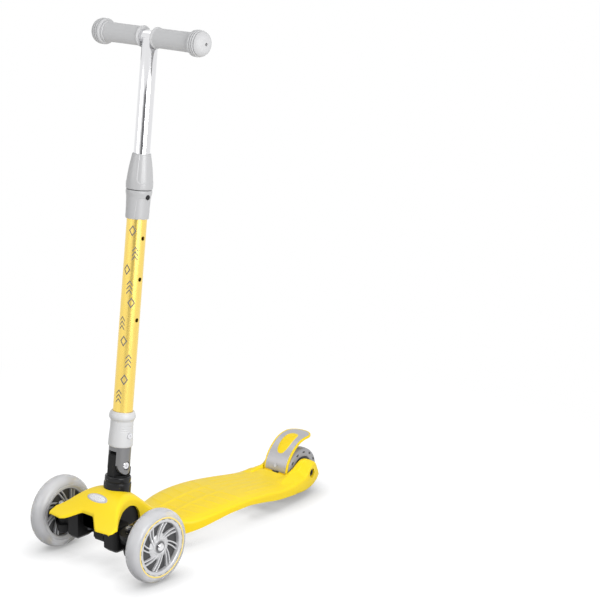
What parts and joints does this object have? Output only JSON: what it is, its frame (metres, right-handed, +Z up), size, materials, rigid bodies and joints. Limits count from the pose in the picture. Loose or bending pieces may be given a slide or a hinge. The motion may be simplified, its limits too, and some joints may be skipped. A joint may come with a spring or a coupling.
{
  "type": "kick scooter",
  "caption": "Children's lean-to-steer kick scooter with wide-set front wheels, a foot brake over the rear wheels, a low arched deck, a folding stem and a height-adjustable T-bar.",
  "frame": {"origin": "on the ground, under the middle of the overall length and width", "axes": "+X to the rider's left, +Y to the rear (front faces -Y), +Z up"},
  "size_m": [0.244, 0.5665, 0.8572],
  "materials": {
    "yellow_plastic": "satin moulded",
    "black_plastic": "satin",
    "black_gloss": "glossy",
    "dark_metal": "metallic",
    "gold_tube": "satin anodised",
    "light_grey": "satin",
    "mid_grey": "satin",
    "chrome": "polished",
    "steel": "brushed",
    "grey_rubber": "matt",
    "clear_tyre": "translucent",
    "silver_core": "semi gloss",
    "dark_core": "semi gloss",
    "white_plastic": "matt"
  },
  "bodies": {
    "deck": {"deck": "yellow_plastic", "nose_badge": "steel", "steering_beam": "black_plastic", "beam_screws": "steel", "spring_housing": "black_plastic", "centring_spring_left": "steel", "centring_spring_right": "steel", "kingpins": "steel", "kingpin_nuts": "steel", "stem_base": "black_plastic", "stem_collar": "black_gloss", "stem_cross_bolt": "steel", "rear_axle": "steel", "rear_axle_nut": "steel", "rear_spacers": "steel", "brake_pin": "steel", "brake_spring": "steel"},
    "stem": {"stem_tube": "gold_tube", "fold_fork": "dark_metal", "fold_bolt": "chrome", "lock_spring": "steel", "lower_clamp": "mid_grey", "upper_clamp": "mid_grey", "tube_bush": "white_plastic"},
    "sleeve": {"lock_sleeve": "light_grey", "lock_plunger": "steel", "sleeve_screws": "chrome"},
    "button": {"height_button": "black_plastic"},
    "handlebar": {"handlebar_upright": "chrome", "handlebar_cross": "chrome", "grip_left": "grey_rubber", "grip_right": "grey_rubber", "snap_clip": "steel", "tube_plug": "black_plastic"},
    "tie_rod": {"tie_rod": "steel"},
    "brake": {"brake_carrier": "yellow_plastic", "brake_plate": "steel", "brake_pad": "yellow_plastic", "brake_rivet": "steel"},
    "knuckle_left": {"knuckle_left": "black_plastic", "kingpin_bushes_left": "white_plastic", "front_axle_left": "steel"},
    "front_wheel_left": {"front_tyre_left": "clear_tyre", "front_core_left": "silver_core", "front_ring_left": "yellow_plastic", "front_bearings_left": "steel"},
    "rear_wheel_left": {"rear_tyre_left": "clear_tyre", "rear_core_left": "dark_core", "rear_bearings_left": "steel"},
    "knuckle_right": {"knuckle_right": "black_plastic", "kingpin_bushes_right": "white_plastic", "front_axle_right": "steel"},
    "front_wheel_right": {"front_tyre_right": "clear_tyre", "front_core_right": "silver_core", "front_ring_right": "yellow_plastic", "front_bearings_right": "steel"},
    "rear_wheel_right": {"rear_tyre_right": "clear_tyre", "rear_core_right": "dark_core", "rear_bearings_right": "steel"}
  },
  "joints": [
    {"name": "stem_fold", "type": "hinge", "parent": "deck", "child": "stem", "pos_m": [0, -0.19022, 0.16212], "axis": [-1, 0, 0], "range_deg": [0, 84]},
    {"name": "sleeve_lift", "type": "slide", "parent": "stem", "child": "sleeve", "axis": [0, 0.1011, 0.9949], "range_m": [0, 0.018], "stiffness_N_per_m": 600, "springref_m": -0.012, "deforming": ["lock_spring"]},
    {"name": "handlebar_slide", "type": "slide", "parent": "stem", "child": "handlebar", "axis": [0, 0.1011, 0.9949], "range_m": [-0.14, 0], "deforming": ["snap_clip"]},
    {"name": "button_press", "type": "slide", "parent": "stem", "child": "button", "axis": [-1, 0, 0], "range_m": [0, 0.003], "stiffness_N_per_m": 900, "springref_m": -0.002, "deforming": ["snap_clip"]},
    {"name": "steer_left", "type": "hinge", "parent": "deck", "child": "knuckle_left", "pos_m": [0.076, -0.23875, 0.066], "axis": [0, -0.2588, 0.9659], "range_deg": [-18, 18], "stiffness_Nm_per_rad": 14, "deforming": ["centring_spring_left", "centring_spring_right"]},
    {"name": "steer_right", "type": "hinge", "parent": "deck", "child": "knuckle_right", "pos_m": [-0.076, -0.23875, 0.066], "axis": [0, -0.2588, 0.9659], "range_deg": [-18, 18]},
    {"name": "tie_rod_swing", "type": "hinge", "parent": "knuckle_left", "child": "tie_rod", "pos_m": [0.076, -0.21219, 0.04413], "axis": [0, -0.2588, 0.9659], "range_deg": [-18, 18]},
    {"name": "front_wheel_left_spin", "type": "hinge", "parent": "knuckle_left", "child": "front_wheel_left", "pos_m": [0.108, -0.21675, 0.06], "axis": [1, 0, 0], "continuous": true},
    {"name": "front_wheel_right_spin", "type": "hinge", "parent": "knuckle_right", "child": "front_wheel_right", "pos_m": [-0.108, -0.21675, 0.06], "axis": [1, 0, 0], "continuous": true},
    {"name": "rear_wheel_left_spin", "type": "hinge", "parent": "deck", "child": "rear_wheel_left", "pos_m": [0.0132, 0.24325, 0.04], "axis": [1, 0, 0], "continuous": true},
    {"name": "rear_wheel_right_spin", "type": "hinge", "parent": "deck", "child": "rear_wheel_right", "pos_m": [-0.0132, 0.24325, 0.04], "axis": [1, 0, 0], "continuous": true},
    {"name": "brake_press", "type": "hinge", "parent": "deck", "child": "brake", "pos_m": [0, 0.19685, 0.037], "axis": [-1, 0, 0], "range_deg": [0, 4], "stiffness_Nm_per_rad": 5, "springref_deg": -4.58, "deforming": ["brake_spring"]}
  ],
  "couplings": [
    {"joint": "steer_right", "follows": "steer_left", "ratio": 1},
    {"joint": "tie_rod_swing", "follows": "steer_left", "ratio": -1}
  ]
}
